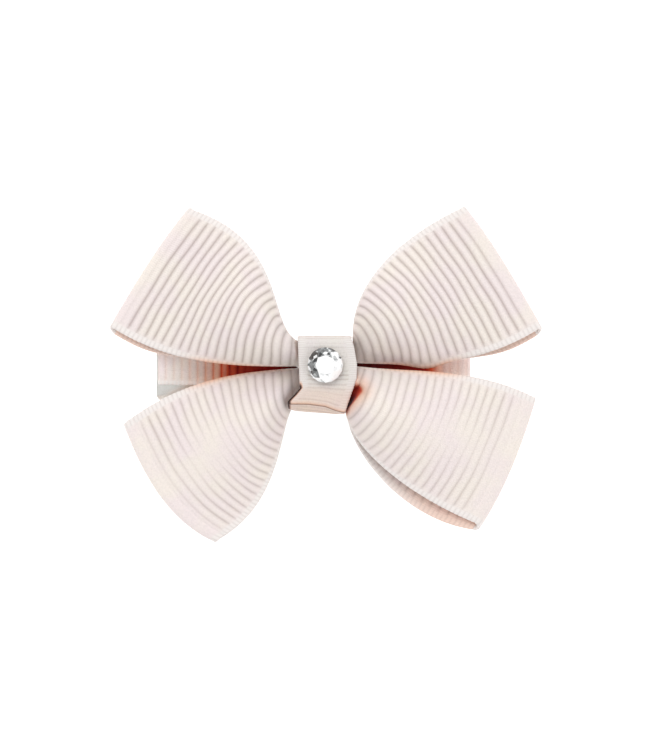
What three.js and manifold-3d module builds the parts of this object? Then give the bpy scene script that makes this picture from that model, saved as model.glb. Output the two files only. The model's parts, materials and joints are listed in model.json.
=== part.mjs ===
// Hair bow: two crossed ribbon loops tied at the waist, a centre wrap with a crystal, and a
// ribbon-lined single-prong alligator clip. Millimetres, +Z up out of the bow's face.
// The clip's flat lower jaw lies on z = 0; X runs along the clip, from finger tabs to tip.
import * as THREE from 'three';
import { mergeVertices } from 'three/addons/utils/BufferGeometryUtils.js';
import Module from 'manifold-3d';

const wasm = await Module();
wasm.setup();

// ---- driving dimensions -------------------------------------------------------------------

const GAP = 0.1;                  // between flat pieces that lie on each other
const SHEET = 0.6;                // spring-steel sheet of both levers
const CLIP_Y = 1.3;               // the clip's centre line, a little above the bow's waist
const TAB_END_X = -19.9;          // finger-tab end of the clip
const TIP_X = 16.3;               // metal tip of the clip
const TAB_WIDTH = 9;
const TAB_CORNER = 0.9;           // rounding of the finger tabs' corners
const BLADE_WIDTH = 4.6;
const NECK_START_X = -8.2;        // where the wide tab starts to narrow
const NECK_END_X = -4.6;          // where it has become the blade
const NOTCH_BEFORE_PIN = 2.4;     // where the lower jaw narrows between the ears
const NOTCH_SLOPE = 0.6;
const UPPER_TIP_RADIUS = 1.2;
const LOWER_TIP_RADIUS = 1.4;
const LOWER_TIP_SETBACK = 0.3;    // the lower tip stops short of the upper one
const PIN_X = -11;
const PIN_RADIUS = 0.6;
const PIN_CLEARANCE = 0.2;        // the pin in the lower jaw's ears
const PIN_HEAD = 0.35;            // how far a head stands out past the pin, and its height
const PIN_HEAD_CHAMFER = 0.15;
const EAR_GAP = 0.3;              // between the outer and the inner ears
const EAR_ROOT = 2.1;             // half of an ear's length where it leaves the sheet
const INNER_EAR_WALL = 0.7;       // metal round the pin
const OUTER_EAR_WALL = 0.9;
const EAR_BASE_SHARE = 0.75;      // how deep an ear is rooted in its sheet
const TAB_ANGLE = 16;             // degrees, the upper finger tab above the blade
const TAB_BEND_X = -13.6;
const SPRING_WIRE = 0.5;
const SPRING_TURNS = 3;
const SPRING_LEG = 3.2;
const SPRING_SPACING = 0.12;      // between one turn and the next
const COIL_PLAY = 0.15;           // between the pin and the coil
const COIL_CLEARANCE = 0.3;       // between the coil and either lever
const TOOTH_COUNT = 6;
const TOOTH_HEIGHT = 0.6;
const TOOTH_START_X = 8.6;
const TOOTH_END_GAP = 0.5;        // from the last tooth to the tip
const TOOTH_LEAN = 0.75;          // share of a tooth's pitch that its slope takes
const TOOTH_BITE_GAP = 0.3;       // between the teeth and the lining when the clip is shut
const TOOTH_RUN_IN = 1.5;
const TOOTH_WALL_INSET = 0.15;    // tooth walls stand in from the blade's edges
const JAW_RISE_X = 10.4;          // where the lower jaw starts to rise to its tip
const JAW_TIP_LENGTH = 1.6;
const JAW_TIP_SHARE = 0.9;        // share of the rise that is reached where the tip starts

const LINING_WIDTH = 5;
const LINING_THICKNESS = 0.4;
const LINING_END_X = -19.7;       // on top, at the finger tab
const LINING_INNER_END_X = -7.4;  // under the blade, in front of the ears

const BOW_WIDTH = 50.2;           // from fold to fold
const BOW_HEIGHT = 38.8;
const RIBBON_THICKNESS = 0.45;
const FOLD_RADIUS = 0.55;         // centre line of the crease at each lobe's end
const WAIST_ARCH = 1;             // crown of the pinched ribbon
const REAR_LEVEL = 6.3;           // rear loop's back layer at the waist
const LAYER_STEP = 1;             // from a loop's back layer to its front layer
const LOOP_STEP = 2.8;            // from the rear loop to the front loop
const FRONT_ARCH = 4;             // how far a lobe's front layer bulges
const BACK_ARCH = 1.5;
const FRONT_SWELL = 1.4;          // how far a front layer's edges stand above a straight run
const BACK_DROP = 0.5;            // how far a back layer's edges hang below one
const FOLD_RISE = 2.6;            // from the rear loop's level at the waist to its fold
const FOLD_STEP = 0.3;            // from the rear loop's fold to the front loop's

const WRAP_WIDTH = 6.4;
const WRAP_THICKNESS = 0.45;
const WRAP_TOP_Y = 4.5;
const WRAP_BOTTOM_Y = -3.9;
const WRAP_CORNER = 1.6;
const WRAP_INNER_CORNER = 0.6;
const WRAP_GLUE = 0.15;
const WAIST_MARGIN = 0.2;         // from the wrap's edge to the start of a lobe
const THREAD_DIAMETER = 0.24;
const THREAD_TURNS = 5;
const THREAD_REACH = 1;           // how far the winding clears the bundle above and below
const THREAD_GAP = 0.16;          // between the bundle and the winding
const THREAD_TO_WRAP = 0.18;
const THREAD_SQUARENESS = 0.36;   // 1 is an ellipse, towards 0 is a rectangle
const BOW_GLUE = [2.6, 2];        // half sizes of the pads along X and Y
const WRAP_GLUE_PAD = [2.4, 1.6];
const STONE_GLUE = [1.6, 1.6];

const STONE_DIAMETER = 4.1;
const STONE_HEIGHT = 1.5;
const STONE_X = -0.1;
const STONE_Y = 1.1;
const STONE_GLUE_HEIGHT = 0.25;
const STONE_SIDES = 16;
const FOIL_THICKNESS = 0.15;
const FOIL_INSET = 0.05;
const GIRDLE_LOW = 0.15;          // the girdle's lower and upper edge above the flat back
const GIRDLE_HIGH = 0.3;
const GIRDLE_CHAMFER = 0.1;
const CROWN_BREAK = [0.82, 0.66]; // share of the radius and of the height
const TABLE_SHARE = 0.52;         // the table's radius

// ---- sizes that follow from them ----------------------------------------------------------

const COIL_INNER = PIN_RADIUS + COIL_PLAY;
const COIL_OUTER = COIL_INNER + SPRING_WIRE;
const PIN_Z = SHEET + COIL_CLEARANCE + COIL_OUTER;
const UPPER_BOTTOM = PIN_Z + COIL_OUTER + COIL_CLEARANCE;
const WAIST_X = WRAP_WIDTH / 2 + WAIST_MARGIN;
const UPPER_TOP = UPPER_BOTTOM + SHEET;
const LINING_TOP = UPPER_TOP + GAP + LINING_THICKNESS;
const LINING_BOTTOM = UPPER_BOTTOM - GAP - LINING_THICKNESS;
const OUTER_EAR_Y = TAB_WIDTH / 2;
const INNER_EAR_Y = OUTER_EAR_Y - SHEET - EAR_GAP;
const FRONT_LEVEL = REAR_LEVEL + LOOP_STEP;
const BUNDLE_TOP = FRONT_LEVEL + LAYER_STEP + WAIST_ARCH + RIBBON_THICKNESS / 2;
const THREAD_TOP = BUNDLE_TOP + THREAD_GAP + THREAD_DIAMETER / 2;
const THREAD_BOTTOM = REAR_LEVEL - RIBBON_THICKNESS / 2 - THREAD_GAP - THREAD_DIAMETER / 2;
const WRAP_INNER_TOP = THREAD_TOP + THREAD_DIAMETER / 2 + THREAD_TO_WRAP;
const WRAP_TOP = WRAP_INNER_TOP + WRAP_THICKNESS;
const WRAP_LEVEL_INNER_END = LINING_BOTTOM - GAP - WRAP_THICKNESS / 2;
const WRAP_LEVEL_OUTER_END = WRAP_LEVEL_INNER_END - WRAP_THICKNESS - WRAP_GLUE - 2 * GAP;

// ---- materials ----------------------------------------------------------------------------

const finish = (color, roughness, metalness = 0) =>
  new THREE.MeshStandardMaterial({ color, roughness, metalness });
const GROSGRAIN = finish(0xeee2dc, 0.75);
const NICKEL = finish(0xb9b6b2, 0.25, 1);
const PIN_STEEL = finish(0xa8a5a0, 0.3, 1);
const SPRING_STEEL = finish(0x8f8c88, 0.35, 1);
const THREAD = finish(0xf2ebe4, 0.8);
const GLUE = finish(0xf4efe2, 0.3);
const CRYSTAL = finish(0xf4f4f4, 0.05);
const FOIL = finish(0xc9c9cc, 0.15, 1);

const bow = new THREE.Group();

function add(name, geometry, material) {
  const mesh = new THREE.Mesh(geometry, material);
  mesh.name = name;
  bow.add(mesh);
  return mesh;
}

// ---- booleans -----------------------------------------------------------------------------

function solid(geometry) {
  const bare = geometry.clone();
  bare.deleteAttribute('normal');
  bare.deleteAttribute('uv');
  const merged = mergeVertices(bare, 1e-4);
  return new wasm.Manifold(new wasm.Mesh({
    numProp: 3,
    vertProperties: new Float32Array(merged.attributes.position.array),
    triVerts: new Uint32Array(merged.index.array),
  }));
}

function geometryOf(manifold) {
  const mesh = manifold.getMesh();
  const geometry = new THREE.BufferGeometry();
  geometry.setAttribute('position', new THREE.BufferAttribute(mesh.vertProperties, 3));
  geometry.setIndex(new THREE.BufferAttribute(mesh.triVerts, 1));
  geometry.computeVertexNormals();
  return geometry;
}

// ---- outlines -----------------------------------------------------------------------------

function shapeOf(points) {
  return new THREE.Shape(points.map(([x, y]) => new THREE.Vector2(x, y)));
}

// A strip of even thickness that follows a bent line, as a closed outline.
function stripOutline(line, thickness) {
  const half = thickness / 2;
  const left = [];
  const right = [];
  line.forEach(([x, y], i) => {
    const [ax, ay] = line[Math.max(i - 1, 0)];
    const [bx, by] = line[Math.min(i + 1, line.length - 1)];
    const before = new THREE.Vector2(x - ax, y - ay);
    const after = new THREE.Vector2(bx - x, by - y);
    if (before.length() === 0) before.copy(after);
    if (after.length() === 0) after.copy(before);
    before.normalize();
    after.normalize();
    const along = before.clone().add(after).normalize();
    const reach = half / along.dot(after);
    left.push([x - along.y * reach, y + along.x * reach]);
    right.push([x + along.y * reach, y - along.x * reach]);
  });
  return shapeOf([...left, ...right.reverse()]);
}

function arc(cx, cy, radius, from, to, steps) {
  return Array.from({ length: steps + 1 }, (_, i) => {
    const angle = THREE.MathUtils.degToRad(from + (to - from) * i / steps);
    return [cx + radius * Math.cos(angle), cy + radius * Math.sin(angle)];
  });
}

// Outline in X and Z, pushed out along Y about the clip's centre line.
function sideways(shape, y0, y1) {
  const geometry = new THREE.ExtrudeGeometry(shape, { depth: y1 - y0, bevelEnabled: false });
  geometry.rotateX(Math.PI / 2);
  geometry.translate(0, CLIP_Y + y1, 0);
  return geometry;
}

// Outline in X and Y, pushed up from z0 to z1.
function upward(shape, z0, z1) {
  const geometry = new THREE.ExtrudeGeometry(shape, { depth: z1 - z0, bevelEnabled: false });
  geometry.translate(0, 0, z0);
  return geometry;
}

// ---- the clip -----------------------------------------------------------------------------

// Plan of a lever: wide finger tab with rounded corners, neck, narrow blade, round tip.
// earNotch narrows it between the ears.
function leverPlan(tipX, tipRadius, earNotch) {
  const wide = TAB_WIDTH / 2;
  const narrow = BLADE_WIDTH / 2;
  const corner = TAB_CORNER;
  const notchStart = PIN_X - NOTCH_BEFORE_PIN;
  const half = [
    ...arc(TAB_END_X + corner, wide - corner, corner, 180, 90, 5),
    [notchStart - NOTCH_SLOPE, wide],
    [notchStart, wide - earNotch],
    [NECK_START_X, wide - earNotch],
    [NECK_END_X, narrow],
    ...arc(tipX - tipRadius, narrow - tipRadius, tipRadius, 90, 0, 5),
  ];
  const mirrored = half.map(([x, y]) => [x, -y]).reverse();
  return shapeOf([...half, ...mirrored].map(([x, y]) => [x, y + CLIP_Y]));
}

function earOutline(radius, baseZ) {
  const down = baseZ > PIN_Z;
  const turn = down ? [180, 360] : [180, 0];
  return shapeOf([
    [PIN_X - EAR_ROOT, baseZ],
    ...arc(PIN_X, PIN_Z, radius, ...turn, 12),
    [PIN_X + EAR_ROOT, baseZ],
  ]);
}

function pinHole(radius) {
  const hole = new THREE.CylinderGeometry(radius, radius, TAB_WIDTH * 2, 24);
  hole.translate(PIN_X, CLIP_Y, PIN_Z);
  return solid(hole);
}

const TOOTH_END_X = TIP_X - TOOTH_END_GAP;
const TOOTH_TOP = LINING_BOTTOM - TOOTH_BITE_GAP;
const JAW_TIP_Z = TOOTH_TOP - TOOTH_HEIGHT - SHEET;

function lowerJaw() {
  const centre = SHEET / 2;
  const line = [
    [TAB_END_X - 1, centre],
    [JAW_RISE_X, centre],
    [TIP_X - JAW_TIP_LENGTH, centre + JAW_TIP_Z * JAW_TIP_SHARE],
    [TIP_X + 1, centre + JAW_TIP_Z],
  ];
  let jaw = solid(sideways(stripOutline(line, SHEET), -TAB_WIDTH, TAB_WIDTH));
  const plan = leverPlan(TIP_X - LOWER_TIP_SETBACK, LOWER_TIP_RADIUS, SHEET + EAR_GAP);
  jaw = jaw.intersect(solid(upward(plan, -TAB_WIDTH, TAB_WIDTH * 2)));
  const earBase = SHEET * EAR_BASE_SHARE;
  for (const side of [-1, 1]) {
    const ear = earOutline(PIN_RADIUS + INNER_EAR_WALL, earBase);
    const near = side * INNER_EAR_Y;
    const far = side * (INNER_EAR_Y - SHEET);
    jaw = jaw.add(solid(sideways(ear, Math.min(near, far), Math.max(near, far))));
  }
  const pitch = (TOOTH_END_X - TOOTH_START_X) / TOOTH_COUNT;
  const rack = [[TOOTH_START_X - TOOTH_RUN_IN, centre]];
  for (let i = 0; i < TOOTH_COUNT; i += 1) {
    const x = TOOTH_START_X + i * pitch;
    rack.push([x, TOOTH_TOP - TOOTH_HEIGHT], [x + pitch * TOOTH_LEAN, TOOTH_TOP]);
  }
  rack.push([TOOTH_END_X, TOOTH_TOP - TOOTH_HEIGHT], [TOOTH_END_X, JAW_TIP_Z + centre]);
  rack.push([TIP_X - JAW_TIP_LENGTH, centre + JAW_TIP_Z * JAW_TIP_SHARE], [JAW_RISE_X, centre]);
  const wall = BLADE_WIDTH / 2 - TOOTH_WALL_INSET;
  for (const [y0, y1] of [[-wall, SHEET - wall], [wall - SHEET, wall]]) {
    jaw = jaw.add(solid(sideways(shapeOf(rack), y0, y1)));
  }
  return geometryOf(jaw.subtract(pinHole(PIN_RADIUS + PIN_CLEARANCE)));
}

// Height of the finger tab's rise at x, above the straight blade.
function tabRise(x) {
  return Math.max(0, TAB_BEND_X - x) * Math.tan(THREE.MathUtils.degToRad(TAB_ANGLE));
}

function upperLever() {
  const middle = UPPER_BOTTOM + SHEET / 2;
  const line = [
    [TAB_END_X - 1, middle + tabRise(TAB_END_X - 1)],
    [TAB_BEND_X, middle],
    [TIP_X + 1, middle],
  ];
  let lever = solid(sideways(stripOutline(line, SHEET), -TAB_WIDTH, TAB_WIDTH));
  const plan = leverPlan(TIP_X, UPPER_TIP_RADIUS, 0);
  lever = lever.intersect(solid(upward(plan, -TAB_WIDTH, TAB_WIDTH * 2)));
  for (const side of [-1, 1]) {
    const ear = earOutline(PIN_RADIUS + OUTER_EAR_WALL,
      UPPER_BOTTOM + SHEET * (1 - EAR_BASE_SHARE));
    const near = side * OUTER_EAR_Y;
    const far = side * (OUTER_EAR_Y - SHEET);
    lever = lever.add(solid(sideways(ear, Math.min(near, far), Math.max(near, far))));
  }
  return geometryOf(lever.subtract(pinHole(PIN_RADIUS + GAP)));
}

function hingePin() {
  const head = PIN_RADIUS + PIN_HEAD;
  const reach = OUTER_EAR_Y + GAP;
  const end = reach + PIN_HEAD;
  const chamfer = PIN_HEAD_CHAMFER;
  const profile = [
    [0, -end], [head - chamfer, -end], [head, -end + chamfer], [head, -reach],
    [PIN_RADIUS, -reach], [PIN_RADIUS, reach],
    [head, reach], [head, end - chamfer], [head - chamfer, end], [0, end],
  ].map(([x, y]) => new THREE.Vector2(x, y));
  const pin = new THREE.LatheGeometry(profile, 24);
  pin.translate(PIN_X, CLIP_Y, PIN_Z);
  return pin;
}

// Coil round the pin with one leg under the upper blade and one on the lower jaw.
class SpringCurve extends THREE.Curve {
  constructor() {
    super();
    this.coil = COIL_INNER + SPRING_WIRE / 2;
    this.pitch = SPRING_WIRE + SPRING_SPACING;
    this.leg = SPRING_LEG;
    this.sweep = Math.PI * 2 * SPRING_TURNS + Math.PI;
    this.arcLength = this.coil * this.sweep;
    this.total = this.arcLength + 2 * this.leg;
  }

  getPoint(t, target = new THREE.Vector3()) {
    const distance = t * this.total - this.leg;
    const onCoil = Math.min(Math.max(distance, 0), this.arcLength);
    const angle = onCoil / this.coil;
    const past = distance - onCoil;
    const halfWidth = this.pitch * this.sweep / (4 * Math.PI);
    const y = CLIP_Y - halfWidth + this.pitch * angle / (2 * Math.PI);
    // Starts at the coil's top and turns down over the finger-tab side.
    const x = PIN_X - this.coil * Math.sin(angle);
    const z = PIN_Z + this.coil * Math.cos(angle);
    const alongX = -Math.cos(angle);
    const alongZ = -Math.sin(angle);
    return target.set(x + past * alongX, y, z + past * alongZ);
  }
}

function torsionSpring() {
  const section = shapeOf(arc(0, 0, SPRING_WIRE / 2, 0, 315, 7));
  return new THREE.ExtrudeGeometry(section, {
    steps: 96,
    extrudePath: new SpringCurve(),
    bevelEnabled: false,
  });
}

function leverLining() {
  const top = UPPER_TOP + GAP + LINING_THICKNESS / 2;
  const bottom = UPPER_BOTTOM - GAP - LINING_THICKNESS / 2;
  const turn = (top - bottom) / 2;
  const line = [
    [LINING_END_X, top + tabRise(LINING_END_X)],
    [TAB_BEND_X, top],
    [0, top],
    ...arc(TIP_X + GAP + LINING_THICKNESS / 2 - turn / 2, (top + bottom) / 2, turn, 90, -90, 8),
    [0, bottom],
    [LINING_INNER_END_X, bottom],
  ];
  const half = LINING_WIDTH / 2;
  return sideways(stripOutline(line, LINING_THICKNESS), -half, half);
}

// ---- the ribbon loops ---------------------------------------------------------------------

// Lobe outlines as they are for a bow DRAWN_WIDTH wide and DRAWN_HEIGHT tall, from the waist
// (first point of an edge) to the fold (last point). bow is the fold's own bulge.
const DRAWN_WIDTH = 50.2;
const DRAWN_HEIGHT = 38.8;
const DRAWN_WAIST_X = 3.4;

// Stretches an edge to the bow's own width and height. Its waist end stays on the waist, and
// its fold end moves out in step with the whole bow.
function fitted(edge) {
  const stretchX = (BOW_WIDTH / 2 - WAIST_X) / (DRAWN_WIDTH / 2 - DRAWN_WAIST_X);
  const waistY = edge[0][1];
  const foldY = edge[3][1];
  const stretchY = (foldY * BOW_HEIGHT / DRAWN_HEIGHT - waistY) / (foldY - waistY);
  return edge.map(([x, y]) => [
    Math.sign(x) * (WAIST_X + (Math.abs(x) - DRAWN_WAIST_X) * stretchX),
    waistY + (y - waistY) * stretchY,
  ]);
}

const UPPER_LEFT = {
  upper: fitted([[-3.4, 3.55], [-5.6, 6], [-5.2, 15], [-15.85, 19.1]]),
  lower: fitted([[-3.4, 1], [-10, 1], [-17.5, 0.6], [-25.1, 5.7]]),
  bow: 0.25,
};
const UPPER_RIGHT = {
  upper: fitted([[3.4, 3.55], [3, 9], [7.5, 15], [16, 19.4]]),
  lower: fitted([[3.4, 1.4], [10, 1], [17.5, 0.6], [25.1, 5.5]]),
  bow: 0.35,
};
const LOWER_LEFT = {
  upper: fitted([[-3.4, 0.8], [-8.5, 0.4], [-15.5, 0.55], [-23.4, -5.8]]),
  lower: fitted([[-3.4, -2.9], [-5.8, -4.8], [-4.9, -14.5], [-13, -19.4]]),
  bow: 1.7,
};
const LOWER_RIGHT = {
  upper: fitted([[3.4, 1.05], [10, 0.8], [17, 0.2], [24.3, -2.9]]),
  lower: fitted([[3.4, -2.9], [2.6, -7.5], [7.6, -13.6], [18, -17.5]]),
  backLower: fitted([[3.4, -2.9], [2.5, -8], [8.2, -17.4], [18, -18.1]]),
  bow: 0.85,
};
const WAIST_UPPER_Y = 2.7;        // the pinched bundle at its middle
const WAIST_LOWER_Y = -1.3;
const ENDS_GAP = 0.6;             // between a loop's two ends, behind the waist
const ACROSS = 10;                // steps across a ribbon
const ALONG = 9;                  // steps along a lobe's layer
const FOLD_STEPS = 4;

function cubic(points, t) {
  const s = 1 - t;
  const weights = [s * s * s, 3 * s * s * t, 3 * s * t * t, t * t * t];
  return [0, 1].map((axis) => weights.reduce((sum, w, i) => sum + w * points[i][axis], 0));
}

const hump = (u) => 6.75 * u * (1 - u) * (1 - u);
const blend = (u, a, b, c) => (1 - u) * (1 - u) * a + 2 * u * (1 - u) * b + u * u * c;

// One cross line of the ribbon: ACROSS + 1 points from its lower to its upper edge.
function crossLine(lower, upper, edgeZ, arch, bowOut = [0, 0]) {
  return Array.from({ length: ACROSS + 1 }, (_, i) => {
    const v = 2 * i / ACROSS - 1;
    const crown = 1 - v * v;
    const share = (1 + v) / 2;
    return new THREE.Vector3(
      lower[0] + (upper[0] - lower[0]) * share + bowOut[0] * crown,
      lower[1] + (upper[1] - lower[1]) * share + bowOut[1] * crown,
      edgeZ + arch * crown,
    );
  });
}

function lobeLine(lobe, u, front, level, foldZ, outset = 0) {
  const lowerEdge = front ? lobe.lower : lobe.backLower ?? lobe.lower;
  const lower = cubic(lowerEdge, u);
  const upper = cubic(lobe.upper, u);
  const across = [upper[0] - lower[0], upper[1] - lower[1]];
  const length = Math.hypot(...across);
  const side = Math.sign(lobe.upper[3][0]);
  const out = [side * across[1] / length, -side * across[0] / length];
  const shift = (p) => [p[0] + out[0] * outset, p[1] + out[1] * outset];
  const bow = lobe.bow * u * u;
  const control = front
    ? (level + foldZ) / 2 + FRONT_SWELL
    : Math.min(level, foldZ) - BACK_DROP;
  const edgeZ = blend(u, level, control, foldZ);
  const crease = WAIST_ARCH * (1 - u) ** 3;
  const arch = crease + (front ? FRONT_ARCH : -BACK_ARCH) * hump(u);
  return crossLine(shift(lower), shift(upper), edgeZ, arch, [out[0] * bow, out[1] * bow]);
}

// Layers of one lobe in order along the ribbon, from the back at the waist round the fold.
function lobeLines(lobe, level, foldZ) {
  const reach = Math.hypot(lobe.upper[3][0], lobe.upper[3][1]);
  const foldU = 1 - (FOLD_RADIUS + RIBBON_THICKNESS / 2) / reach;
  const at = (i) => foldU * i / ALONG;
  const lines = [];
  for (let i = 0; i <= ALONG; i += 1) {
    lines.push(lobeLine(lobe, at(i), false, level, foldZ - FOLD_RADIUS));
  }
  for (let i = 1; i < FOLD_STEPS; i += 1) {
    const angle = Math.PI * i / FOLD_STEPS;
    const back = lobeLine(lobe, foldU, false, level, foldZ - FOLD_RADIUS,
      FOLD_RADIUS * Math.sin(angle));
    const front = lobeLine(lobe, foldU, true, level, foldZ + FOLD_RADIUS,
      FOLD_RADIUS * Math.sin(angle));
    const share = (1 - Math.cos(angle)) / 2;
    lines.push(back.map((p, k) => p.clone().lerp(front[k], share)));
  }
  for (let i = ALONG; i >= 0; i -= 1) {
    lines.push(lobeLine(lobe, at(i), true, level + LAYER_STEP, foldZ + FOLD_RADIUS));
  }
  return lines;
}

function waistLine(x, fromLobe, edgeZ) {
  const share = Math.abs(x) / WAIST_X;
  const mix = (middle, end) => middle + (end - middle) * share;
  const lower = [x, mix(WAIST_LOWER_Y, fromLobe.lower[0][1])];
  const upper = [x, mix(WAIST_UPPER_Y, fromLobe.upper[0][1])];
  return crossLine(lower, upper, edgeZ, WAIST_ARCH);
}

// A closed sheet of even thickness round a grid of centre points.
function sheetGeometry(lines) {
  const rows = lines.length;
  const columns = lines[0].length;
  const tops = [];
  const bottoms = [];
  for (let r = 0; r < rows; r += 1) {
    for (let c = 0; c < columns; c += 1) {
      const along = lines[Math.min(r + 1, rows - 1)][c].clone()
        .sub(lines[Math.max(r - 1, 0)][c]);
      const across = lines[r][Math.min(c + 1, columns - 1)].clone()
        .sub(lines[r][Math.max(c - 1, 0)]);
      const normal = along.cross(across).normalize().multiplyScalar(RIBBON_THICKNESS / 2);
      tops.push(lines[r][c].clone().add(normal));
      bottoms.push(lines[r][c].clone().sub(normal));
    }
  }
  const points = [...tops, ...bottoms];
  const below = rows * columns;
  const at = (r, c) => r * columns + c;
  const faces = [];
  const quad = (a, b, c, d) => faces.push(a, b, c, a, c, d);
  for (let r = 0; r < rows - 1; r += 1) {
    for (let c = 0; c < columns - 1; c += 1) {
      quad(at(r, c), at(r + 1, c), at(r + 1, c + 1), at(r, c + 1));
      quad(below + at(r, c), below + at(r, c + 1), below + at(r + 1, c + 1),
        below + at(r + 1, c));
    }
    const last = columns - 1;
    quad(at(r, 0), below + at(r, 0), below + at(r + 1, 0), at(r + 1, 0));
    quad(at(r, last), at(r + 1, last), below + at(r + 1, last), below + at(r, last));
  }
  for (let c = 0; c < columns - 1; c += 1) {
    const last = rows - 1;
    quad(at(0, c), at(0, c + 1), below + at(0, c + 1), below + at(0, c));
    quad(at(last, c), below + at(last, c), below + at(last, c + 1), at(last, c + 1));
  }
  const geometry = new THREE.BufferGeometry();
  geometry.setAttribute('position', new THREE.Float32BufferAttribute(
    points.flatMap((p) => p.toArray()), 3));
  geometry.setIndex(faces);
  geometry.computeVertexNormals();
  return geometry;
}

function loopRibbon(left, right, level, foldZ) {
  const front = level + LAYER_STEP;
  return sheetGeometry([
    waistLine(-ENDS_GAP / 2, left, level),
    ...lobeLines(left, level, foldZ),
    waistLine(0, left, front),
    ...lobeLines(right, level, foldZ).reverse(),
    waistLine(ENDS_GAP / 2, right, level),
  ]);
}

// ---- the waist ----------------------------------------------------------------------------

class WindingCurve extends THREE.Curve {
  constructor(halfY, middleY, halfZ, middleZ, pitch) {
    super();
    Object.assign(this, { halfY, middleY, halfZ, middleZ, pitch });
  }

  getPoint(t, target = new THREE.Vector3()) {
    const angle = Math.PI * 2 * THREAD_TURNS * t;
    const squared = (value) => Math.sign(value) * Math.abs(value) ** THREAD_SQUARENESS;
    return target.set(
      this.pitch * THREAD_TURNS * (t - 0.5),
      this.middleY + this.halfY * squared(Math.cos(angle)),
      this.middleZ + this.halfZ * squared(Math.sin(angle)),
    );
  }
}

function waistThread() {
  const top = WAIST_UPPER_Y + THREAD_REACH;
  const bottom = WAIST_LOWER_Y - THREAD_REACH;
  const section = shapeOf(arc(0, 0, THREAD_DIAMETER / 2, 0, 300, 5));
  return new THREE.ExtrudeGeometry(section, {
    steps: THREAD_TURNS * 28,
    extrudePath: new WindingCurve((top - bottom) / 2, (top + bottom) / 2,
      (THREAD_TOP - THREAD_BOTTOM) / 2, (THREAD_TOP + THREAD_BOTTOM) / 2,
      THREAD_DIAMETER * 1.5),
    bevelEnabled: false,
  });
}

// The wrap's section across the waist (Y and Z): from its inner end under the clip, up, over
// the waist, down again and back under the clip, where the outer end laps the inner one.
function centreWrap() {
  const half = WRAP_THICKNESS / 2;
  const right = WRAP_TOP_Y - half;
  const left = WRAP_BOTTOM_Y + half;
  const top = WRAP_TOP - half;
  const r = WRAP_CORNER;
  const inner = WRAP_LEVEL_INNER_END;
  const outer = WRAP_LEVEL_OUTER_END;
  const turn = WRAP_INNER_CORNER;
  const line = [
    [left + r, inner],
    ...arc(right - turn, inner + turn, turn, -90, 0, 4),
    ...arc(right - r, top - r, r, 0, 90, 6),
    ...arc(left + r, top - r, r, 90, 180, 6),
    ...arc(left + r, outer + r, r, 180, 270, 6),
    [right - r, outer],
  ];
  const geometry = new THREE.ExtrudeGeometry(stripOutline(line, WRAP_THICKNESS), {
    depth: WRAP_WIDTH, bevelEnabled: false,
  });
  // Turned so that the section's X and Y become Y and Z and its depth runs along X.
  const basis = new THREE.Matrix4().makeBasis(
    new THREE.Vector3(0, 1, 0), new THREE.Vector3(0, 0, 1), new THREE.Vector3(1, 0, 0));
  geometry.applyMatrix4(basis);
  geometry.translate(-WRAP_WIDTH / 2, 0, 0);
  return geometry;
}

// A flat-bottomed pad of set glue with softened upper edge.
function gluePad(radiusX, radiusY, height, x, y, z) {
  const profile = [[0, 0], [1, 0], [0.96, 0.6], [0.8, 1], [0, 1]]
    .map(([a, b]) => new THREE.Vector2(a, b));
  const pad = new THREE.LatheGeometry(profile, 20);
  pad.rotateX(Math.PI / 2);
  pad.scale(radiusX, radiusY, height);
  pad.translate(x, y, z);
  return pad;
}

// ---- the crystal --------------------------------------------------------------------------

const STONE_SEAT = WRAP_TOP + GAP + STONE_GLUE_HEIGHT + GAP;

function foilDisc() {
  const radius = STONE_DIAMETER / 2 - FOIL_INSET;
  const foil = new THREE.CylinderGeometry(radius, radius, FOIL_THICKNESS, 32);
  foil.rotateX(Math.PI / 2);
  foil.translate(STONE_X, STONE_Y, STONE_SEAT + FOIL_THICKNESS / 2);
  return foil;
}

function crystal() {
  const girdle = STONE_DIAMETER / 2;
  const base = STONE_HEIGHT - FOIL_THICKNESS - GAP;
  const profile = [
    [0, 0], [girdle - GIRDLE_CHAMFER, 0], [girdle, GIRDLE_LOW], [girdle, GIRDLE_HIGH],
    [girdle * CROWN_BREAK[0], base * CROWN_BREAK[1]], [girdle * TABLE_SHARE, base], [0, base],
  ].map(([x, y]) => new THREE.Vector2(x, y));
  const stone = new THREE.LatheGeometry(profile, STONE_SIDES);
  stone.rotateX(Math.PI / 2);
  stone.translate(STONE_X, STONE_Y, STONE_SEAT + FOIL_THICKNESS + GAP);
  return stone;
}

// ---- the assembly -------------------------------------------------------------------------

const REAR_FOLD_Z = REAR_LEVEL + FOLD_RISE;
const FRONT_FOLD_Z = REAR_FOLD_Z + FOLD_STEP;
const BOW_GLUE_SPACE = THREAD_BOTTOM - THREAD_DIAMETER / 2 - LINING_TOP;

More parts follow.
